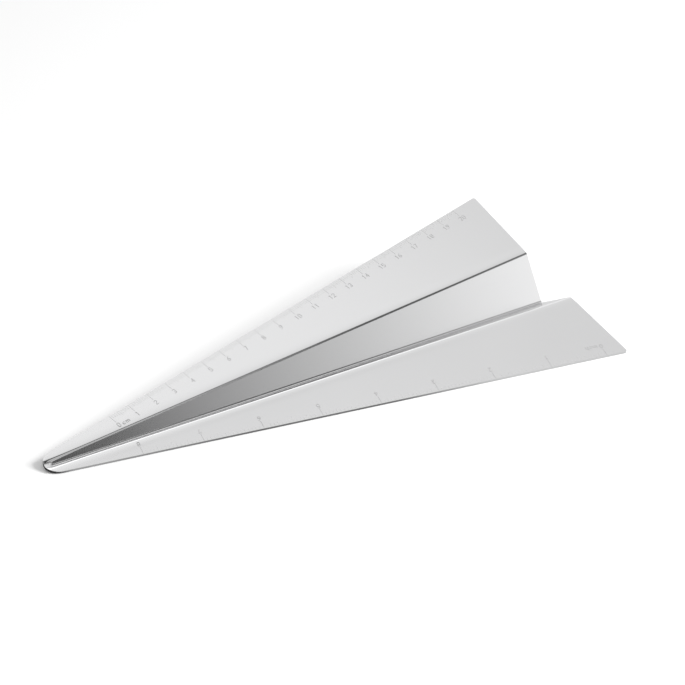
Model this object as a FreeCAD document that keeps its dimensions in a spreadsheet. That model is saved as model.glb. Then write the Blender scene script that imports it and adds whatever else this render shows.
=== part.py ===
import FreeCAD, Part
import math
import os
import Sketcher

# Desk ruler folded from one steel sheet in the shape of a paper aeroplane.
# Shape axes: X runs from the nose to the tail along the keel, Y to the far wing, Z up between the wings.
# The far wing carries a centimetre scale and the near wing an inch scale.
# Every sub-part gets the placement in which the finished ruler lies on a table.

doc = FreeCAD.newDocument("airplane_ruler")

# ---------------------------------------------------------------- driving sizes (mm, degrees)

sizes = doc.addObject("Spreadsheet::Sheet", "sizes")

driving = [
    ("sheet_length", 245.0),
    ("tail_half_span", 55.3),
    ("sheet_thickness", 1.0),
    ("bend_radius", 1.0),
    ("wall_slope", 45.0),
    ("wing_slope", 1.8),
    ("nose_fold_half_width", 1.7),
    ("tail_fold_half_width", 15.7),
    ("nose_radius", 6.0),
    ("tip_radius", 1.0),
    ("blank_half_span", 70.0),
    ("mark_height", 0.04),
    ("line_width", 0.18),
    ("edge_gap", 0.3),
    ("scale_depth", 8.0),
    ("scale_lead", 3.0),
    ("centimetre_pitch", 10.0),
    ("centimetre_count", 20),
    ("inch_pitch", 25.4),
    ("inch_count", 8),
    ("long_line", 4.0),
    ("half_line", 3.0),
    ("quarter_line", 2.4),
    ("eighth_line", 1.9),
    ("short_line", 1.5),
    ("millimetre_line", 2.0),
    ("figure_height", 2.4),
    ("figure_stroke", 0.28),
    ("figure_gap", 0.5),
    ("centimetre_tail_margin", 14.0),
    ("inch_tail_margin", 9.5),
]

# The folded section of the far half at the nose, measured in the plane across the keel.
# Upper side: wall, fold corner, wing. Lower side: the same, one thickness further out.
# The wall runs on below the keel as far as the tail needs, and is cut at the keel afterwards.
turn = "(1 + cos(wall_slope - wing_slope))"
derived = [
    ("fold_height", "=nose_fold_half_width * tan(wall_slope)"),
    ("fold_spread", "=tail_fold_half_width - nose_fold_half_width"),
    ("fold_rise", "=fold_spread * tan(wall_slope)"),
    ("wall_start_y", "=-(fold_spread + 5)"),
    ("wall_start_z", "=wall_start_y * tan(wall_slope)"),
    ("wing_end_z", "=fold_height + (blank_half_span - nose_fold_half_width) * tan(wing_slope)"),
    ("fold_low_y", "=nose_fold_half_width + sheet_thickness * (sin(wall_slope) + sin(wing_slope)) / " + turn),
    ("fold_low_z", "=fold_height - sheet_thickness * (cos(wall_slope) + cos(wing_slope)) / " + turn),
    ("wing_low_z", "=fold_low_z + (blank_half_span - fold_low_y) * tan(wing_slope)"),
    ("keel_low", "=sheet_thickness / cos(wall_slope)"),
    ("wall_low_z", "=wall_start_z - keel_low"),
]

# The ruling edge: the line from the tail corner that touches the nose circle.
derived += [
    ("corner_reach", "=sqrt((sheet_length - nose_radius)^2 + tail_half_span^2)"),
    ("edge_angle", "=atan(tail_half_span / (sheet_length - nose_radius)) - asin(nose_radius / corner_reach)"),
    ("touch_x", "=nose_radius - nose_radius * sin(edge_angle)"),
    ("touch_y", "=nose_radius * cos(edge_angle)"),
    ("cut_x", "=sheet_length + 5"),
    ("cut_y", "=tail_half_span + 5 * tan(edge_angle)"),
]

row = 1
for alias, value in driving:
    sizes.set("A%d" % row, alias)
    sizes.set("B%d" % row, str(value))
    sizes.setAlias("B%d" % row, alias)
    row += 1
for alias, formula in derived:
    sizes.set("A%d" % row, alias)
    sizes.set("B%d" % row, formula)
    sizes.setAlias("B%d" % row, alias)
    row += 1
doc.recompute()


def size(alias):
    """One number of the size sheet."""
    return float(getattr(sizes, alias))


def bind(item, prop, expression):
    """Drive a property from the size sheet: each word of the expression that is an alias is looked up."""
    words = []
    for word in expression.split():
        if hasattr(sizes, word):
            words.append("<<sizes>>." + word)
        else:
            words.append(word)
    item.setExpression(prop, " ".join(words))


def origin_plane(body, role):
    """One of the three base planes of a body."""
    for item in body.Origin.OriginFeatures:
        if item.Role == role:
            return item


def new_body(label):
    """A design body with its own name, allowed to hold separate marks."""
    body = doc.addObject("PartDesign::Body", label)
    body.Label = label
    body.AllowCompound = True
    return body


def new_sketch(body, name, role):
    """A sketch lying on one of the body's base planes."""
    sketch = body.newObject("Sketcher::SketchObject", name)
    sketch.AttachmentSupport = [(origin_plane(body, role), "")]
    sketch.MapMode = "FlatFace"
    return sketch


def tie_point(sketch, geometry, end, across, up):
    """Fix one end of a sketch line at a distance across and up from the sketch origin."""
    if across == "0":
        sketch.addConstraint(Sketcher.Constraint("PointOnObject", geometry, end, -2))
    else:
        number = sketch.addConstraint(Sketcher.Constraint("DistanceX", -1, 1, geometry, end, 1.0))
        bind(sketch, "Constraints[%d]" % number, across)
    if up == "0":
        sketch.addConstraint(Sketcher.Constraint("PointOnObject", geometry, end, -1))
    else:
        number = sketch.addConstraint(Sketcher.Constraint("DistanceY", -1, 1, geometry, end, 1.0))
        bind(sketch, "Constraints[%d]" % number, up)


def closed_chain(sketch, corners, places):
    """A closed run of straight lines whose corners follow the size sheet."""
    points = [FreeCAD.Vector(x, y, 0) for x, y in places]
    first = sketch.GeometryCount
    count = len(points)
    for i in range(count):
        sketch.addGeometry(Part.LineSegment(points[i], points[(i + 1) % count]), False)
    for i in range(count):
        after = first + (i + 1) % count
        sketch.addConstraint(Sketcher.Constraint("Coincident", first + i, 2, after, 1))
    for i in range(count):
        tie_point(sketch, first + i, 1, corners[i][0], corners[i][1])


# ---------------------------------------------------------------- folded steel sheet

sheet = new_body("steel_sheet")

# The far half: its section, drawn out along the fold line to the tail.
section = new_sketch(sheet, "section", "YZ_Plane")
corner_cells = [
    ("wall_start_y", "wall_start_z"),
    ("nose_fold_half_width", "fold_height"),
    ("blank_half_span", "wing_end_z"),
    ("blank_half_span", "wing_low_z"),
    ("fold_low_y", "fold_low_z"),
    ("wall_start_y", "wall_low_z"),
]
closed_chain(section, corner_cells, [(size(y), size(z)) for y, z in corner_cells])

half = sheet.newObject("PartDesign::Pad", "half_sheet")
half.Profile = section
half.UseCustomVector = True
half.Direction = FreeCAD.Vector(size("sheet_length"), size("fold_spread"), size("fold_rise"))
half.AlongSketchNormal = True
bind(half, "Direction.x", "sheet_length")
bind(half, "Direction.y", "fold_spread")
bind(half, "Direction.z", "fold_rise")
bind(half, "Length", "sheet_length")
sheet.Tip = half
doc.recompute()

# The wall ends at the middle plane: all that lies beyond it is cut away.
beyond = new_sketch(sheet, "beyond_the_keel", "XZ_Plane")
closed_chain(
    beyond,
    [("0 - 10", "0 - blank_half_span"), ("cut_x", "0 - blank_half_span"),
     ("cut_x", "blank_half_span"), ("0 - 10", "blank_half_span")],
    [(-10, -70), (250, -70), (250, 70), (-10, 70)])
keel_cut = sheet.newObject("PartDesign::Pocket", "cut_at_the_keel")
keel_cut.Profile = beyond
keel_cut.Type = "ThroughAll"
sheet.Tip = keel_cut
doc.recompute()
if keel_cut.Shape.BoundBox.YMax < 1:
    keel_cut.Reversed = True
    doc.recompute()

both = sheet.newObject("PartDesign::Mirrored", "both_halves")
both.TransformMode = "Whole shape"
both.MirrorPlane = (origin_plane(sheet, "XZ_Plane"), [""])
sheet.Tip = both
doc.recompute()


def edges_at(shape, corners):
    """Names of the long edges that start at the given corners of the nose section."""
    names = []
    for number, edge in enumerate(shape.Edges):
        for vertex in edge.Vertexes:
            p = vertex.Point
            if abs(p.x) > 0.01 or edge.Length < 0.9 * size("sheet_length"):
                continue
            if any(math.hypot(abs(p.y) - y, p.z - z) < 0.01 for y, z in corners):
                names.append("Edge%d" % (number + 1))
    return names


# The bends: inside radius on the hollow side, inside radius plus thickness on the other.
hollow = [(0.0, 0.0), (size("fold_low_y"), size("fold_low_z"))]
inner = sheet.newObject("PartDesign::Fillet", "inner_bends")
inner.Base = (both, edges_at(both.Shape, hollow))
bind(inner, "Radius", "bend_radius")
sheet.Tip = inner
doc.recompute()

round_side = [(0.0, -size("keel_low")), (size("nose_fold_half_width"), size("fold_height"))]
outer = sheet.newObject("PartDesign::Fillet", "outer_bends")
outer.Base = (inner, edges_at(inner.Shape, round_side))
bind(outer, "Radius", "bend_radius + sheet_thickness")
sheet.Tip = outer
doc.recompute()

# The outline of the aeroplane, cut straight down through the folded sheet.
outline = new_sketch(sheet, "outline", "XY_Plane")
outline.AttachmentOffset = FreeCAD.Placement(FreeCAD.Vector(0, 0, 60), FreeCAD.Rotation())
r = size("nose_radius")
touch = FreeCAD.Vector(size("touch_x"), size("touch_y"), 0)
far_end = FreeCAD.Vector(size("cut_x"), size("cut_y"), 0)
near_touch = FreeCAD.Vector(touch.x, -touch.y, 0)
near_end = FreeCAD.Vector(far_end.x, -far_end.y, 0)
start = math.atan2(touch.y, touch.x - r)
circle = Part.Circle(FreeCAD.Vector(r, 0, 0), FreeCAD.Vector(0, 0, 1), r)
arc = outline.addGeometry(Part.ArcOfCircle(circle, start, 2 * math.pi - start), False)
far_side = outline.addGeometry(Part.LineSegment(touch, far_end), False)
tail_side = outline.addGeometry(Part.LineSegment(far_end, near_end), False)
near_side = outline.addGeometry(Part.LineSegment(near_end, near_touch), False)
outline.addConstraint(Sketcher.Constraint("Coincident", arc, 1, far_side, 1))
outline.addConstraint(Sketcher.Constraint("Coincident", far_side, 2, tail_side, 1))
outline.addConstraint(Sketcher.Constraint("Coincident", tail_side, 2, near_side, 1))
outline.addConstraint(Sketcher.Constraint("Coincident", near_side, 2, arc, 2))
tie_point(outline, far_side, 1, "touch_x", "touch_y")
tie_point(outline, far_side, 2, "cut_x", "cut_y")
tie_point(outline, near_side, 1, "cut_x", "0 - cut_y")
tie_point(outline, near_side, 2, "touch_x", "0 - touch_y")
number = outline.addConstraint(Sketcher.Constraint("Radius", arc, r))
bind(outline, "Constraints[%d]" % number, "nose_radius")
reach = size("blank_half_span") + size("fold_spread") + 10
closed_chain(
    outline,
    [("0 - 10", "0 - blank_half_span - fold_spread - 10"), ("cut_x + 10", "0 - blank_half_span - fold_spread - 10"),
     ("cut_x + 10", "blank_half_span + fold_spread + 10"), ("0 - 10", "blank_half_span + fold_spread + 10")],
    [(-10, -reach), (far_end.x + 10, -reach), (far_end.x + 10, reach), (-10, reach)])
doc.recompute()

trim = sheet.newObject("PartDesign::Pocket", "trim_to_outline")
trim.Profile = outline
trim.Type = "ThroughAll"
sheet.Tip = trim
doc.recompute()

# The two wing tips have small round corners.
tips = []
for number, edge in enumerate(trim.Shape.Edges):
    a = edge.Vertexes[0].Point
    b = edge.Vertexes[-1].Point
    upright = math.hypot(a.x - b.x, a.y - b.y) < 0.01 and abs(a.z - b.z) > 0.5 * size("sheet_thickness")
    if upright and abs(a.x - size("sheet_length")) < 0.01:
        tips.append("Edge%d" % (number + 1))
corner = sheet.newObject("PartDesign::Fillet", "tip_corners")
corner.Base = (trim, tips)
bind(corner, "Radius", "tip_radius")
sheet.Tip = corner
doc.recompute()


# ---------------------------------------------------------------- where things lie

def fold_half(x):
    """Half width of the trough between the fold corners, x along the keel."""
    share = x / size("sheet_length")
    return size("nose_fold_half_width") * (1 - share) + size("tail_fold_half_width") * share


def wing_top(x, y):
    """Height of a wing's upper face."""
    fold = fold_half(x)
    rise = math.tan(math.radians(size("wing_slope")))
    return fold * math.tan(math.radians(size("wall_slope"))) + (abs(y) - fold) * rise


def wing_frame(side, tail_margin, towards):
    """Placement of a scale: X along the ruling edge, Y outwards, origin inboard of the zero line."""
    angle = math.radians(size("edge_angle"))
    tail_y = size("tail_half_span")
    corner_point = FreeCAD.Vector(size("sheet_length"), side * tail_y, wing_top(size("sheet_length"), tail_y))
    nose_y = tail_y - 100 * math.tan(angle)
    further = FreeCAD.Vector(size("sheet_length") - 100, side * nose_y, wing_top(size("sheet_length") - 100, nose_y))
    along = further.sub(corner_point).normalize()
    inboard = FreeCAD.Vector(size("sheet_length") - 50, 0, wing_top(size("sheet_length") - 50, 0)).sub(corner_point)
    up = along.cross(inboard).normalize()
    if up.z < 0:
        up = up.negative()
    zero = corner_point + along * tail_margin
    reading = along * towards
    outward = up.cross(reading).normalize()
    origin = zero - outward * size("scale_depth") - reading * size("scale_lead")
    return FreeCAD.Placement(origin, FreeCAD.Rotation(reading, outward, up, "XYZ"))


# The centimetre scale reads towards the tail on the far wing.
# The inch scale reads towards the nose on the near wing.
centimetre_span = size("centimetre_pitch") * size("centimetre_count")
centimetre_frame = wing_frame(1, size("centimetre_tail_margin") + centimetre_span, -1)
inch_frame = wing_frame(-1, size("inch_tail_margin"), 1)

# On a table the ruler leans to the near side, onto the lower rim of the near wing.
# It stands on the wing tip and the keel, or on the whole rim and the keel's tail end if the rim is lower.
keel_round = size("bend_radius") + size("sheet_thickness")
keel_centre_z = size("bend_radius") / math.cos(math.radians(size("wall_slope")))
keel_centre = FreeCAD.Vector(size("sheet_length"), 0, keel_centre_z)
drop = size("sheet_thickness") / math.cos(math.radians(size("wing_slope")))
tip_point = FreeCAD.Vector(size("sheet_length"), -size("tail_half_span"), 0)
tip_point.z = wing_top(tip_point.x, tip_point.y) - drop
front_point = FreeCAD.Vector(size("touch_x"), -size("touch_y"), 0)
front_point.z = wing_top(front_point.x, front_point.y) - drop


def table_normal(line):
    """Upward normal of the plane that holds a line through the wing tip and touches the keel's round."""
    arm = keel_centre.sub(tip_point)
    arm = arm.sub(line * arm.dot(line))
    lean = math.degrees(math.acos(keel_round / arm.Length))
    normal = FreeCAD.Rotation(line, lean).multVec(arm).normalize()
    other = FreeCAD.Rotation(line, -lean).multVec(arm).normalize()
    return normal if normal.z > other.z else other


up = table_normal(FreeCAD.Vector(1, 0, 0))
if up.dot(front_point.sub(tip_point)) < 0:
    up = table_normal(front_point.sub(tip_point).normalize())
ahead = FreeCAD.Vector(1, 0, 0)
ahead = ahead.sub(up * ahead.dot(up)).normalize()
level = FreeCAD.Placement(FreeCAD.Vector(), FreeCAD.Rotation(ahead, up.cross(ahead), up, "XYZ").inverted())
lying = sheet.Shape.copy()
lying.Placement = level
box = lying.optimalBoundingBox(False)
to_table = FreeCAD.Vector(-box.Center.x, -box.Center.y, -box.ZMin)
on_table = FreeCAD.Placement(to_table, FreeCAD.Rotation()).multiply(level)
sheet.Placement = on_table


# ---------------------------------------------------------------- graduation lines

def line_set(label, frame, shifts, pitch, count, length):
    """Dark lines across the ruling edge: one group of lines, repeated along the scale."""
    body = new_body(label)
    sketch = new_sketch(body, label + "_sketch", "XY_Plane")
    for shift in shifts:
        middle = size("scale_lead") + shift * size(pitch)
        left = middle - size("line_width") / 2
        right = middle + size("line_width") / 2
        top = size("scale_depth") - size("edge_gap")
        low = top - size(length)
        left_word = "scale_lead + " + repr(shift) + " * " + pitch + " - line_width / 2"
        right_word = "scale_lead + " + repr(shift) + " * " + pitch + " + line_width / 2"
        top_word = "scale_depth - edge_gap"
        low_word = "scale_depth - edge_gap - " + length
        closed_chain(
            sketch,
            [(left_word, low_word), (right_word, low_word), (right_word, top_word), (left_word, top_word)],
            [(left, low), (right, low), (right, top), (left, top)])
    doc.recompute()
    pad = body.newObject("PartDesign::Pad", label + "_pad")
    pad.Profile = sketch
    bind(pad, "Length", "mark_height")
    body.Tip = pad
    doc.recompute()
    repeat = body.newObject("PartDesign::LinearPattern", label + "_row")
    repeat.Originals = [pad]
    repeat.Direction = (sketch, ["H_Axis"])
    repeat.Occurrences = int(size(count[0]) + count[1])
    bind(repeat, "Length", pitch + " * ( " + count[0] + " - " + str(1 - count[1]) + " )")
    body.Tip = repeat
    doc.recompute()
    body.Placement = on_table.multiply(frame)
    return body


def odd_parts(parts):
    """The odd fractions of one division, such as 1/8, 3/8, 5/8 and 7/8."""
    return [k / parts for k in range(1, parts, 2)]


cm_shifts = [k / 10 for k in range(1, 10) if k != 5]
line_set("centimetre_lines", centimetre_frame, [0.0], "centimetre_pitch", ("centimetre_count", 1), "long_line")
line_set("half_centimetre_lines", centimetre_frame, [0.5], "centimetre_pitch", ("centimetre_count", 0), "half_line")
line_set("millimetre_lines", centimetre_frame, cm_shifts, "centimetre_pitch", ("centimetre_count", 0),
         "millimetre_line")
line_set("inch_lines", inch_frame, [0.0], "inch_pitch", ("inch_count", 1), "long_line")
line_set("half_inch_lines", inch_frame, odd_parts(2), "inch_pitch", ("inch_count", 0), "half_line")
line_set("quarter_inch_lines", inch_frame, odd_parts(4), "inch_pitch", ("inch_count", 0), "quarter_line")
line_set("eighth_inch_lines", inch_frame, odd_parts(8), "inch_pitch", ("inch_count", 0), "eighth_line")
line_set("sixteenth_inch_lines", inch_frame, odd_parts(16), "inch_pitch", ("inch_count", 0), "short_line")


# ---------------------------------------------------------------- figures and unit letters

def bar(x0, y0, x1, y1):
    """A straight stroke with round ends."""
    half_width = size("figure_stroke") / 2
    a = FreeCAD.Vector(x0, y0, 0)
    b = FreeCAD.Vector(x1, y1, 0)
    along = b.sub(a).normalize()
    side = FreeCAD.Vector(-along.y, along.x, 0) * half_width
    end = along * half_width
    wire = Part.Wire([
        Part.LineSegment(a.sub(side), b.sub(side)).toShape(),
        Part.Arc(b.sub(side), b.add(end), b.add(side)).toShape(),
        Part.LineSegment(b.add(side), a.add(side)).toShape(),
        Part.Arc(a.add(side), a.sub(end), a.sub(side)).toShape()])
    return Part.Face(wire).extrude(FreeCAD.Vector(0, 0, size("mark_height")))


def on_circle(cx, cy, radius, degrees):
    """A point of a circle."""
    angle = math.radians(degrees)
    return FreeCAD.Vector(cx + radius * math.cos(angle), cy + radius * math.sin(angle), 0)


def bow(cx, cy, radius, start_angle, end_angle):
    """A curved stroke with round ends, or a ring when it goes all the way round."""
    half_width = size("figure_stroke") / 2
    height = size("mark_height")
    wide = radius + half_width
    slim = radius - half_width
    if end_angle - start_angle >= 360:
        centre = FreeCAD.Vector(cx, cy, 0)
        return Part.makeCylinder(wide, height, centre).cut(Part.makeCylinder(slim, height, centre))
    middle = (start_angle + end_angle) / 2
    cap = math.degrees(half_width / radius)
    wire = Part.Wire([
        Part.Arc(on_circle(cx, cy, wide, start_angle), on_circle(cx, cy, wide, middle),
                 on_circle(cx, cy, wide, end_angle)).toShape(),
        Part.Arc(on_circle(cx, cy, wide, end_angle), on_circle(cx, cy, radius, end_angle + cap),
                 on_circle(cx, cy, slim, end_angle)).toShape(),
        Part.Arc(on_circle(cx, cy, slim, end_angle), on_circle(cx, cy, slim, middle),
                 on_circle(cx, cy, slim, start_angle)).toShape(),
        Part.Arc(on_circle(cx, cy, slim, start_angle), on_circle(cx, cy, radius, start_angle - cap),
                 on_circle(cx, cy, wide, start_angle)).toShape()])
    return Part.Face(wire).extrude(FreeCAD.Vector(0, 0, height))


def ring(cx, low, high, radius):
    """A closed upright loop: two half circles joined by straight sides."""
    half_width = size("figure_stroke") / 2
    faces = []
    for r in (radius + half_width, radius - half_width):
        a = FreeCAD.Vector(cx + r, low, 0)
        b = FreeCAD.Vector(cx + r, high, 0)
        c = FreeCAD.Vector(cx - r, high, 0)
        d = FreeCAD.Vector(cx - r, low, 0)
        faces.append(Part.Face(Part.Wire([
            Part.LineSegment(a, b).toShape(),
            Part.Arc(b, FreeCAD.Vector(cx, high + r, 0), c).toShape(),
            Part.LineSegment(c, d).toShape(),
            Part.Arc(d, FreeCAD.Vector(cx, low - r, 0), a).toShape()])))
    return faces[0].cut(faces[1]).extrude(FreeCAD.Vector(0, 0, size("mark_height")))


# Strokes of each character, in quarters of a figure's height: a bar from point to point,
# a bow round a centre, with its radius and the angles between which it runs, or a closed ring.
strokes = {
    "0": [(ring, 1, 1, 3, 1)],
    "1": [(bar, 1, 0, 1, 4), (bar, 0.2, 3.2, 1, 4)],
    "2": [(bow, 1, 3, 1, -20, 170), (bar, 1.94, 2.66, 0, 0), (bar, 0, 0, 2, 0)],
    "3": [(bow, 1, 3, 1, -90, 150), (bow, 1, 1, 1, -150, 90)],
    "4": [(bar, 1.5, 0, 1.5, 4), (bar, 1.5, 4, 0, 1.2), (bar, 0, 1.2, 2.2, 1.2)],
    "5": [(bar, 2, 4, 0.2, 4), (bar, 0.2, 4, 0.06, 1.9), (bow, 0.9, 1.2, 1.2, -140, 150)],
    "6": [(bow, 1, 1, 1, 0, 360), (bow, 3.2, 1, 3.2, 112, 180)],
    "7": [(bar, 0, 4, 2, 4), (bar, 2, 4, 0.6, 0)],
    "8": [(bow, 1, 3, 1, 0, 360), (bow, 1, 1, 1, 0, 360)],
    "9": [(bow, 1, 3, 1, 0, 360), (bow, -1.2, 3, 3.2, -68, 0)],
    "c": [(bow, 1, 1, 1, 45, 315)],
    "h": [(bar, 0, 0, 0, 3.6), (bow, 0.9, 1.1, 0.9, 0, 180), (bar, 1.8, 0, 1.8, 1.1)],
    "i": [(bar, 0, 0, 0, 2), (bar, 0, 2.9, 0, 3.0)],
    "m": [(bar, 0, 0, 0, 2), (bow, 0.7, 1.3, 0.7, 0, 180), (bar, 1.4, 0, 1.4, 1.3),
          (bow, 2.1, 1.3, 0.7, 0, 180), (bar, 2.8, 0, 2.8, 1.3)],
    "n": [(bar, 0, 0, 0, 2), (bow, 0.9, 1.1, 0.9, 0, 180), (bar, 1.8, 0, 1.8, 1.1)],
}
widths = {"c": 2, "h": 1.8, "i": 0, "m": 2.8, "n": 1.8}
made = {}


def character(letter):
    """One figure or letter as a thin solid, its lower left corner at the origin."""
    if letter not in made:
        q = (size("figure_height") - size("figure_stroke")) / 4
        solids = []
        for stroke in strokes[letter]:
            lengths = [q * number for number in stroke[1:]]
            if stroke[0] is bow:
                lengths[3:] = stroke[4:]
            solids.append(stroke[0](*lengths))
        whole = solids[0]
        if len(solids) > 1 and letter != "i":
            whole = solids[0].fuse(solids[1:])
        if letter == "i":
            whole = Part.makeCompound(solids)
        shift = size("figure_stroke") / 2
        whole.translate(FreeCAD.Vector(shift, shift, 0))
        made[letter] = whole
    return made[letter]


def advance(letter):
    """Width of one character with its stroke."""
    q = (size("figure_height") - size("figure_stroke")) / 4
    return widths.get(letter, 2) * q + size("figure_stroke")


def word_width(word):
    """Width of a run of characters."""
    return sum(advance(letter) for letter in word) + size("figure_gap") * 0.8 * (len(word) - 1)


def write(word, left, base):
    """The solids of a run of characters that starts at left and stands on base."""
    placed = []
    for letter in word:
        for solid in character(letter).Solids:
            copy = solid.copy()
            copy.translate(FreeCAD.Vector(left, base, 0))
            placed.append(copy)
        left += advance(letter) + size("figure_gap") * 0.8
    return placed


def lettering(label, frame, solids):
    """A named set of printed characters on one wing."""
    item = doc.addObject("Part::Feature", label)
    item.Label = label
    item.Shape = Part.makeCompound(solids)
    item.Placement = on_table.multiply(frame)
    return item


def figure_base():
    """Height of the foot of the figures above the inboard side of the scale."""
    top = size("scale_depth") - size("edge_gap") - size("long_line") - size("figure_gap")
    return top - size("figure_height")


def figures(label, frame, pitch, count):
    """The numbers of a scale, each centred under its line."""
    solids = []
    for number in range(int(size(count)) + 1):
        word = str(number)
        middle = size("scale_lead") + number * size(pitch)
        solids += write(word, middle - word_width(word) / 2, figure_base())
    return lettering(label, frame, solids)


def unit_name(label, frame, word):
    """The unit, printed after the zero."""
    left = size("scale_lead") + advance("0") / 2 + size("figure_gap") * 2
    return lettering(label, frame, write(word, left, figure_base()))


figures("centimetre_figures", centimetre_frame, "centimetre_pitch", "centimetre_count")
unit_name("centimetre_unit", centimetre_frame, "cm")
figures("inch_figures", inch_frame, "inch_pitch", "inch_count")
unit_name("inch_unit", inch_frame, "inch")
doc.recompute()


# ---------------------------------------------------------------- checks and files

nodes = ["steel_sheet", "centimetre_lines", "half_centimetre_lines", "millimetre_lines",
         "centimetre_figures", "centimetre_unit", "inch_lines", "half_inch_lines",
         "quarter_inch_lines", "eighth_inch_lines", "sixteenth_inch_lines",
         "inch_figures", "inch_unit"]

for item in doc.Objects:
    if "Invalid" in item.State or "Error" in item.State:
        raise RuntimeError(item.Label + " did not recompute: " + str(item.State))

os.makedirs("parts", exist_ok=True)
for node in nodes:
    item = doc.getObjectsByLabel(node)[0]
    shape = item.Shape
    if shape.isNull() or not shape.isValid() or shape.Volume <= 0 or not shape.Solids:
        raise RuntimeError(node + " has no valid solid")
    shape.exportStep("parts/" + node + ".step")
    b = shape.BoundBox
    print("%-24s solids %3d volume %10.3f  x %.2f..%.2f y %.2f..%.2f z %.2f..%.2f" % (
        node, len(shape.Solids), shape.Volume, b.XMin, b.XMax, b.YMin, b.YMax, b.ZMin, b.ZMax))
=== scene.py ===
import math

import bmesh
import bpy
from mathutils import Euler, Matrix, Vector


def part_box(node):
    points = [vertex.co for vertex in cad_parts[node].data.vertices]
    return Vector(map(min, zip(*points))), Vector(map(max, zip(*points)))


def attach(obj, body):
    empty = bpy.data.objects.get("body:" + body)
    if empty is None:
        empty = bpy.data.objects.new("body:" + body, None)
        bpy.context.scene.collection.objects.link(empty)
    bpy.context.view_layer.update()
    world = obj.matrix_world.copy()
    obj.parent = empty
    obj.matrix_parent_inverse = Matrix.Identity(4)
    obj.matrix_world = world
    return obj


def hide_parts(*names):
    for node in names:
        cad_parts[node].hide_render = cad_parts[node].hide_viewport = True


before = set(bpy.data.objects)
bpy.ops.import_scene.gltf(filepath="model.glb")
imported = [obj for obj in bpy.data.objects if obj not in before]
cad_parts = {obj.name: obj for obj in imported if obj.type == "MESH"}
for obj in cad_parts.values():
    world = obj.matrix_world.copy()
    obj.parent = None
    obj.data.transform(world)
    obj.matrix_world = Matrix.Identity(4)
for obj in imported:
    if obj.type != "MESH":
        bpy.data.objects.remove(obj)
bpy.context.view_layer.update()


# ---------------------------------------------------------------- folded steel sheet
# The whole body is one blank of polished stainless steel, 1 mm thick, cut to the outline of a
# paper aeroplane and pressed along three lines: the keel and the two folds of the wings.
# Its cut rim is deburred, so every edge carries a fine round.

mm = 0.001
sheet_length = 245 * mm
sheet_thickness = 1.0 * mm
inner_bend = 1.0 * mm
fold_round = 1.3 * mm
wall_slope = math.radians(45)
wing_slope = math.radians(1.8)
nose_fold = 1.7 * mm
tail_fold = 15.7 * mm
tail_half_span = 55.3 * mm
nose_radius = 6.0 * mm
tip_radius = 1.0 * mm
rim_round = 0.16 * mm
lean = math.radians(16.726)
same_place = 0.01 * mm


def edit(piece):
    """Open one piece alone for modelling, with nothing on it selected."""
    if bpy.context.mode != "OBJECT":
        bpy.ops.object.mode_set(mode="OBJECT")
    bpy.ops.object.select_all(action="DESELECT")
    piece.select_set(True)
    bpy.context.view_layer.objects.active = piece
    bpy.ops.object.mode_set(mode="EDIT")
    bpy.ops.mesh.select_all(action="DESELECT")


def close():
    """Leave edit mode."""
    bpy.ops.object.mode_set(mode="OBJECT")


def pick(piece, kind, wanted):
    """Select the vertices or edges of the open piece whose every corner passes the test."""
    bpy.ops.mesh.select_mode(type={"verts": "VERT", "edges": "EDGE"}[kind])
    bpy.ops.mesh.select_all(action="DESELECT")
    shape = bmesh.from_edit_mesh(piece.data)
    for part in getattr(shape, kind):
        corners = [part] if kind == "verts" else part.verts
        part.select_set(all(wanted(corner.co) for corner in corners))
    shape.select_flush_mode()
    bmesh.update_edit_mesh(piece.data)


def face_one_way():
    """Turn all faces of the open piece to the same side."""
    bpy.ops.mesh.select_all(action="SELECT")
    bpy.ops.mesh.normals_make_consistent(inside=False)


def finish_with(piece, kind, **settings):
    """Add one modifier and apply it."""
    bpy.ops.object.select_all(action="DESELECT")
    piece.select_set(True)
    bpy.context.view_layer.objects.active = piece
    modifier = piece.modifiers.new(kind.title(), kind)
    for name, value in settings.items():
        setattr(modifier, name, value)
    bpy.ops.object.modifier_apply(modifier=modifier.name)


def fold_half(x):
    """Half width of the trough, and its depth, at a place along the keel."""
    return nose_fold + (tail_fold - nose_fold) * x / sheet_length


def near(a, b):
    """Two lengths that are the same place on the sheet."""
    return abs(a - b) < same_place


# The far wall: a plane drawn out from the keel to the fold line. The blank is a little too long
# at both ends until it is cut.
overrun = 2 * mm
strip_width = 10 * mm
front_x = -overrun
back_x = sheet_length + overrun
bpy.ops.object.select_all(action="DESELECT")
bpy.ops.mesh.primitive_plane_add(size=1, location=(0, 0, 0))
steel = bpy.context.object
steel.name = "folded_sheet"
edit(steel)
bpy.ops.mesh.select_all(action="SELECT")
bpy.ops.transform.translate(value=(0.5, 0.5, 0))
bpy.ops.transform.resize(value=(back_x - front_x, strip_width, 1), center_override=(0, 0, 0))
bpy.ops.transform.translate(value=(front_x, 0, 0))
for end in (front_x, back_x):
    pick(steel, "verts", lambda p: near(p.x, end) and p.y > strip_width / 2)
    reach = fold_half(end)
    bpy.ops.transform.translate(value=(0, reach - strip_width, reach * math.tan(wall_slope)))

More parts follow.
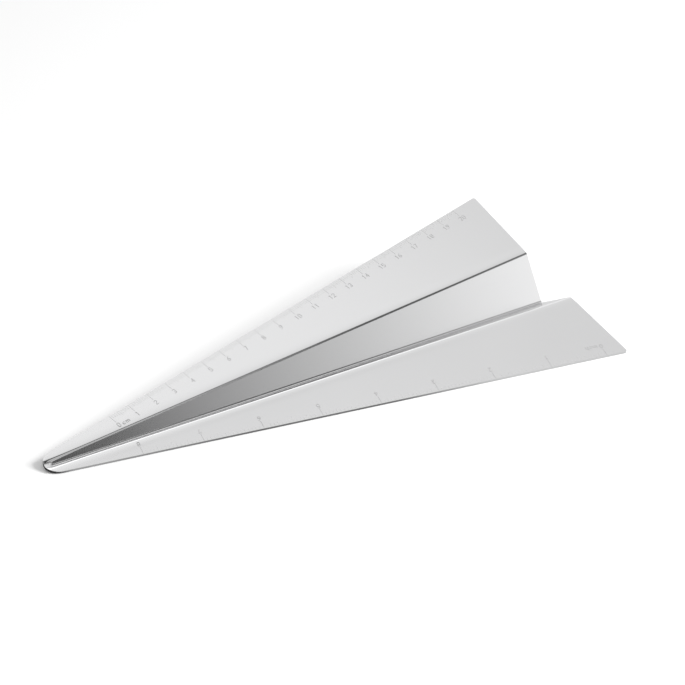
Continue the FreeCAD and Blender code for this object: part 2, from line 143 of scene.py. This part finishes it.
# The far wing: the fold line drawn outwards, wider than needed. The press leaves a soft roll
# beside the fold, a few millimetres wide, before the wing runs flat.
roll_strips = 4
roll_width = 1.3 * mm
roll_turn = math.radians(3.4)
wing_width = 64 * mm
drop = sum(roll_width * math.tan(roll_turn * (strip + 0.5) / roll_strips)
           for strip in range(roll_strips))
pick(steel, "verts", lambda p: p.y > same_place)
bpy.ops.transform.translate(value=(0, 0, -drop))
for strip in range(roll_strips):
    slope = wing_slope + roll_turn * (roll_strips - strip - 0.5) / roll_strips
    bpy.ops.mesh.extrude_region_move(
        TRANSFORM_OT_translate={"value": (0, roll_width, roll_width * math.tan(slope))})
bpy.ops.mesh.extrude_region_move(
    TRANSFORM_OT_translate={"value": (0, wing_width, wing_width * math.tan(wing_slope))})
face_one_way()
close()
finish_with(steel, "MIRROR", use_axis=(False, True, False), merge_threshold=same_place)
edit(steel)
face_one_way()
close()
if sum(face.normal.z * face.area for face in steel.data.polygons) < 0:
    edit(steel)
    bpy.ops.mesh.select_all(action="SELECT")
    bpy.ops.mesh.flip_normals()
    close()

# The press rounds the keel and both folds.
bend_strips = 14
half_turn = (wall_slope - wing_slope) / 2
fold_reach = fold_round * math.tan(half_turn)
edit(steel)
pick(steel, "edges", lambda p: abs(p.y) < same_place)
bpy.ops.mesh.bevel(offset_type="OFFSET", offset=inner_bend * math.tan(wall_slope),
                   segments=bend_strips, profile=0.5)
pick(steel, "edges", lambda p: near(abs(p.y), fold_half(p.x)))
bpy.ops.mesh.bevel(offset_type="OFFSET", offset=fold_reach, segments=bend_strips, profile=0.5)


def cut_rings(length, steps):
    """Cut rings across the open sheet, from the nose back, and list those to be reshaped."""
    places = [length * step / steps for step in range(steps + 1)]
    for place in places:
        bpy.ops.mesh.select_all(action="SELECT")
        bpy.ops.mesh.bisect(plane_co=(place, 0, 0), plane_no=(1, 0, 0))
    return [front_x] + places[:-1]


# Towards the nose both folds open into wider rounds. The trough's own rings, further down, fall
# on these wherever the two meet.
nose_length = 22.4 * mm
widest = 1.9
slack = 1.05
for place in cut_rings(nose_length, 14):
    wider = 1 + (widest - 1) * (1 - max(0.0, place) / nose_length) ** 2
    middle = fold_half(place)
    for side in (-1, 1):
        pick(steel, "verts",
             lambda p: near(p.x, place) and abs(side * p.y - middle) < fold_reach * slack)
        bpy.ops.transform.resize(value=(1, wider, wider),
                                 center_override=(place, side * middle, middle - drop))

# The trough dies out there: its floor sweeps up to the rim over the last few millimetres.
prow_length = 4.0 * mm
prow_depth = 0.22
for place in cut_rings(prow_length, 20):
    along = max(0.0, place) / prow_length
    keep = prow_depth + (1 - prow_depth) * math.sin(along * math.pi / 2)
    brim = fold_half(place) - drop
    pick(steel, "verts", lambda p: near(p.x, place) and p.z < brim)
    bpy.ops.transform.resize(value=(1, 1, keep), center_override=(place, 0, brim))
close()
finish_with(steel, "SOLIDIFY", thickness=sheet_thickness, offset=-1,
            use_even_offset=True, use_quality_normals=True)

# The cutting line round the blank: a disc at the nose, drawn back to the two wing tips.
rim_points = 180
cut_reach = 60 * mm
tip_distance = math.hypot(sheet_length - nose_radius, tail_half_span)
rim_angle = (math.atan2(tail_half_span, sheet_length - nose_radius)
             - math.asin(nose_radius / tip_distance))
touch_x = nose_radius - nose_radius * math.sin(rim_angle)
bpy.ops.object.select_all(action="DESELECT")
bpy.ops.mesh.primitive_circle_add(vertices=rim_points, radius=nose_radius, fill_type="NOTHING",
                                  location=(0, 0, 0))
blank = bpy.context.object
blank.name = "cutting_line"
edit(blank)
bpy.ops.mesh.select_all(action="SELECT")
bpy.ops.transform.translate(value=(nose_radius, 0, -cut_reach))
pick(blank, "verts", lambda p: p.x > touch_x + 5 * same_place)
bpy.ops.mesh.delete(type="VERT")
for side in (-1, 1):
    corner = Vector((sheet_length, side * tail_half_span, -cut_reach))
    arc = [v.co.copy() for v in bmesh.from_edit_mesh(blank.data).verts if v.co.y * side > 0]
    last = min(arc, key=lambda p: (p - corner).length)
    pick(blank, "verts", lambda p: (p - last).length < same_place)
    bpy.ops.mesh.extrude_region_move(TRANSFORM_OT_translate={"value": corner - last})
pick(blank, "verts", lambda p: near(p.x, sheet_length))
bpy.ops.mesh.edge_face_add()
pick(blank, "verts", lambda p: near(p.x, sheet_length))
corner_angle = math.pi / 2 - rim_angle
bpy.ops.mesh.bevel(affect="VERTICES", offset_type="OFFSET",
                   offset=tip_radius / math.tan(corner_angle / 2), segments=8, profile=0.5)
bpy.ops.mesh.select_all(action="SELECT")
bpy.ops.mesh.edge_face_add()
bpy.ops.mesh.extrude_region_move(TRANSFORM_OT_translate={"value": (0, 0, 2 * cut_reach)})
face_one_way()
close()
finish_with(steel, "BOOLEAN", operation="INTERSECT", object=blank, solver="EXACT")
bpy.data.objects.remove(blank)
edit(steel)
bpy.ops.mesh.select_all(action="SELECT")
bpy.ops.mesh.remove_doubles(threshold=same_place / 5)
face_one_way()
close()

# It lies on the table on its keel and one wing tip, so the whole sheet leans to the near side.
steel.rotation_euler = Euler((lean, 0, 0))
bpy.ops.object.select_all(action="DESELECT")
steel.select_set(True)
bpy.context.view_layer.objects.active = steel
bpy.ops.object.transform_apply(location=False, rotation=True, scale=False)
lowest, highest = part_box("steel_sheet")
spots = [vertex.co for vertex in steel.data.vertices]
steel.location = (lowest[0] - min(p.x for p in spots), highest[1] - max(p.y for p in spots),
                  highest[2] - max(p.z for p in spots))
bpy.ops.object.transform_apply(location=True, rotation=False, scale=False)

# The deburred rim: every edge sharper than a bend.
sharper_than = math.radians(50)
smooth_up_to = math.radians(30)
finish_with(steel, "BEVEL", width=rim_round, segments=3, limit_method="ANGLE",
            angle_limit=sharper_than, use_clamp_overlap=True, miter_outer="MITER_SHARP")
bpy.ops.object.shade_smooth_by_angle(angle=smooth_up_to)
finish_with(steel, "WEIGHTED_NORMAL", keep_sharp=True, weight=50)


class Value:
    """A number running through a material, so that its maths reads as arithmetic."""

    def __init__(self, tree, socket):
        self.tree = tree
        self.socket = socket

    def maths(self, operation, first, second):
        return self.tree.node("ShaderNodeMath", {"operation": operation},
                              {0: first, 1: second}).out()

    def __add__(self, other):
        return self.maths("ADD", self, other)

    __radd__ = __add__

    def __mul__(self, other):
        return self.maths("MULTIPLY", self, other)

    __rmul__ = __mul__

    def __sub__(self, other):
        return self.maths("SUBTRACT", self, other)

    def __rsub__(self, other):
        return self.maths("SUBTRACT", other, self)


class Node:
    """One shader node and its outputs."""

    def __init__(self, tree, node):
        self.tree = tree
        self.node = node

    def out(self, name=0):
        return Value(self.tree, self.node.outputs[name])


class Tree:
    """The node tree of a material or of the world."""

    def __init__(self, owner):
        owner.use_nodes = True
        self.nodes = owner.node_tree.nodes
        self.links = owner.node_tree.links
        self.nodes.clear()

    def node(self, kind, settings=None, inputs=None):
        """Add a node: its settings by name, then its inputs, linked or set to a constant."""
        made = self.nodes.new(kind)
        for name, value in (settings or {}).items():
            if name == "stops":
                stops = made.color_ramp.elements
                for place, (where, colour) in enumerate(value):
                    stop = stops[place] if place < 2 else stops.new(where)
                    stop.position = where
                    stop.color = colour
            else:
                setattr(made, name, value)
        for name, value in (inputs or {}).items():
            if isinstance(value, Value):
                self.links.new(value.socket, made.inputs[name])
            else:
                made.inputs[name].default_value = value
        return Node(self, made)


def blend(tree, share, first, second):
    """A colour between two others. The mix node has one numbered socket per kind of value."""
    first_colour, second_colour, mixed_colour = 6, 7, 2
    return tree.node("ShaderNodeMix", {"data_type": "RGBA"},
                     {"Factor": share, first_colour: first, second_colour: second}
                     ).out(mixed_colour)


# Polished stainless steel: nearly even, with a faint cloudiness and hair-fine wipe marks that
# run from nose to tail.
polished = bpy.data.materials.new("polished_stainless")
tree = Tree(polished)
place = tree.node("ShaderNodeTexCoord").out("Object")
cloud = tree.node("ShaderNodeTexNoise", {},
                  {"Vector": place, "Scale": 18.0, "Detail": 3.0}).out("Fac")
stretch = tree.node("ShaderNodeMapping", {},
                    {"Vector": place, "Scale": (60.0, 900.0, 900.0)}).out()
wipe = tree.node("ShaderNodeTexNoise", {},
                 {"Vector": stretch, "Scale": 1.0, "Detail": 4.0}).out("Fac")
roughness = 0.10 + cloud * 0.04 + wipe * 0.03
bump = tree.node("ShaderNodeBump", {},
                 {"Strength": 0.02, "Distance": 0.02 * mm, "Height": wipe}).out()
tone = blend(tree, cloud, (0.765, 0.765, 0.77, 1), (0.80, 0.80, 0.805, 1))
shader = tree.node("ShaderNodeBsdfPrincipled", {},
                   {"Base Color": tone, "Metallic": 1.0, "Roughness": roughness, "Normal": bump})
tree.node("ShaderNodeOutputMaterial", {}, {"Surface": shader.out("BSDF")})
steel.data.materials.clear()
steel.data.materials.append(polished)
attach(steel, "root")
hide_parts("steel_sheet")


# ---------------------------------------------------------------- scale marks
# The lines, figures and unit names are burned into the steel by a laser, which leaves a thin
# grey oxide, a little uneven from line to line. The fine lines get less heat and stay paler.


def grey(level):
    """A neutral colour."""
    return (level, level, level, 1)


def laser_grey(name, dark, pale):
    """The oxide a laser leaves, a little uneven, between two shades of grey."""
    material = bpy.data.materials.new(name)
    tree = Tree(material)
    place = tree.node("ShaderNodeTexCoord").out("Object")
    speck = tree.node("ShaderNodeTexNoise", {},
                      {"Vector": place, "Scale": 2500.0, "Detail": 2.0}).out("Fac")
    fade = tree.node("ShaderNodeTexNoise", {},
                     {"Vector": place, "Scale": 40.0, "Detail": 1.0}).out("Fac")
    oxide = blend(tree, speck * 0.5 + fade * 0.5, grey(dark), grey(pale))
    shader = tree.node("ShaderNodeBsdfPrincipled", {},
                       {"Base Color": oxide, "Metallic": 0.3, "Roughness": 0.5 + speck * 0.1})
    tree.node("ShaderNodeOutputMaterial", {}, {"Surface": shader.out("BSDF")})
    return material


far_deep = laser_grey("laser_grey_figures", 0.34, 0.54)
far_line = laser_grey("laser_grey_lines", 0.44, 0.64)
far_fine = laser_grey("laser_grey_fine_lines", 0.60, 0.76)
near_line = laser_grey("laser_grey_inch", 0.36, 0.52)
near_fine = laser_grey("laser_grey_inch_fine", 0.54, 0.67)
burns = {"centimetre_figures": far_deep, "centimetre_unit": far_deep, "centimetre_lines": far_line,
         "half_centimetre_lines": far_fine, "millimetre_lines": far_fine,
         "inch_figures": near_line, "inch_unit": near_line, "inch_lines": near_line,
         "half_inch_lines": near_fine, "quarter_inch_lines": near_fine,
         "eighth_inch_lines": near_fine, "sixteenth_inch_lines": near_fine}
for name, burn in burns.items():
    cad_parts[name].data.materials.clear()
    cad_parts[name].data.materials.append(burn)


# ---------------------------------------------------------------- table, light and camera
# A plain white table in a bright studio: soft light overhead, a black card over the near side and
# a white panel further round, which the polished steel mirrors. The ruler also mirrors the table,
# and there the table's colour is a painted reflection: dark bands along its length, black in front
# of the nose, so that the steel's rims and folds mirror dark lines.

table_size = 8
bpy.ops.object.select_all(action="DESELECT")
bpy.ops.mesh.primitive_plane_add(size=table_size, location=(0, 0, 0))
table = bpy.context.object
table.name = "table"
white = bpy.data.materials.new("white_table_with_painted_reflection")
tree = Tree(white)
mirrored = tree.node("ShaderNodeLightPath").out("Is Glossy Ray")
spot = tree.node("ShaderNodeTexCoord").out("Object")
along = tree.node("ShaderNodeSeparateXYZ", {}, {"Vector": spot}).out("X")
# Painted reflection: the colour the table shows only in the steel's mirror, in grey bands from
# black in front of the nose to the lightest grey towards the tail.
painted_reflection_stops = [(0.0, grey(0.05)), (0.437, grey(0.05)), (0.46, grey(0.42)), (0.50, grey(0.40)),
         (0.66, grey(0.20)), (0.86, grey(0.20)), (1.0, grey(0.60))]
seen = tree.node("ShaderNodeValToRGB", {"stops": painted_reflection_stops}, {"Fac": along * 3.0 + 0.8}).out("Color")
table_colour_and_painted_reflection = blend(tree, mirrored, grey(0.94), seen)
shader = tree.node("ShaderNodeBsdfPrincipled", {},
                   {"Base Color": table_colour_and_painted_reflection, "Roughness": 0.9, "Specular IOR Level": 0.0})
tree.node("ShaderNodeOutputMaterial", {}, {"Surface": shader.out("BSDF")})
table.data.materials.append(white)

# The room is described by direction: x towards the tail, y to the far side, z up, each from
# -1 to 1.
studio = bpy.data.worlds.new("studio")
bpy.context.scene.world = studio
tree = Tree(studio)
way = tree.node("ShaderNodeTexCoord").out("Generated")
parts = tree.node("ShaderNodeSeparateXYZ", {}, {"Vector": way})
x, y, z = parts.out("X"), parts.out("Y"), parts.out("Z")


def ramp(value, low, high, start, end, curve="SMOOTHSTEP"):
    """A change from start to end while a value goes from low to high."""
    return tree.node("ShaderNodeMapRange", {"interpolation_type": curve},
                     {"Value": value, "From Min": low, "From Max": high,
                      "To Min": start, "To Max": end}).out()


# Above the far side: bright overhead, a little less lower down, and a lit wall behind the table.
zenith = ramp(z, 0.812, 0.85, 0.0, 0.24) * ramp(y, 0.33, 0.40, 1.0, 0.3)
back_wall = ramp(z, 0.68, 0.80, 0.45, 0.0) + ramp(y, 0.44, 0.50, 0.0, 0.34)
far_half = 0.79 + zenith + ramp(y, 0.31, 0.36, 0.0, 0.05) - ramp(y, 0.385, 0.42, 0.0, 0.06)
far_half = far_half - ramp(z, 0.78, 0.81, 0.05, 0.0)
far_half = far_half + back_wall * ramp(x, 0.475, 0.525, 1.0, 0.35)
# Behind the nose the room is dimmer, which gives the steel a grey sheen seen from the tail.
far_half = far_half * ramp(x, -0.35, 0.1, 0.5, 1.0)
# A black card hangs over the near side, so that the folds draw a dark line. Its near edge is
# cut away towards the nose, and it thins out towards the tail.
beyond = ramp(y, -0.30, -0.12, 1.0, 0.0) * ramp(x, 0.40, 0.46, 1.0, 0.0)
card = ramp(y, 0.02, 0.28, 1.0, 0.0) * ramp(x, 0.60, 0.70, 1.0, 0.0)
card = card * ramp(x, -0.1, 0.15, 0.0, 1.0) * (1 - beyond)
card_black = ramp(x, 0.49, 0.56, 0.95, 0.36)
# A white panel stands low on the near side; its light grows from black towards the tail.
panel = ramp(y, -0.60, -0.50, 1.0, 0.0) * ramp(z, 0.45, 0.56, 1.0, 0.0)
panel_light = ramp(x, 0.415, 0.615, 0.0, 1.52, "LINEAR") + ramp(x, 0.0, 0.25, 0.8, 0.0)
room = far_half * (1 - beyond * 0.4) * (1 - card * card_black) * (1 - panel)
room = room + panel_light * panel
# On anything that isn't a mirror the room throws one even light.
even_light = 0.64
glossy = tree.node("ShaderNodeLightPath").out("Is Glossy Ray")
strength = room * glossy + even_light * (1 - glossy)
sky = tree.node("ShaderNodeBackground", {}, {"Color": grey(1), "Strength": strength})
tree.node("ShaderNodeOutputWorld", {}, {"Surface": sky.out()})

# A softbox on the near side of the tail draws the shadow beyond the far wing.
lamp_data = bpy.data.lights.new("softbox", "AREA")
lamp_data.shape = "RECTANGLE"
lamp_data.size = 0.6
lamp_data.size_y = 0.6
lamp_data.energy = 24.5
lamp = bpy.data.objects.new("softbox", lamp_data)
bpy.context.scene.collection.objects.link(lamp)
lamp.location = (0.95, -0.80, 0.85)
lamp.rotation_euler = (-lamp.location).to_track_quat("-Z", "Y").to_euler()
lamp.visible_glossy = False

camera_data = bpy.data.cameras.new("camera")
camera_data.sensor_width = 36
camera_data.lens = 160.34
camera = bpy.data.objects.new("camera", camera_data)
bpy.context.scene.collection.objects.link(camera)
camera.location = (-0.61067, -0.91658, 0.57776)
camera.rotation_euler = [math.radians(turn) for turn in (63.146, 0.996, -34.845)]
bpy.context.scene.camera = camera
bpy.context.scene.view_settings.view_transform = "Standard"
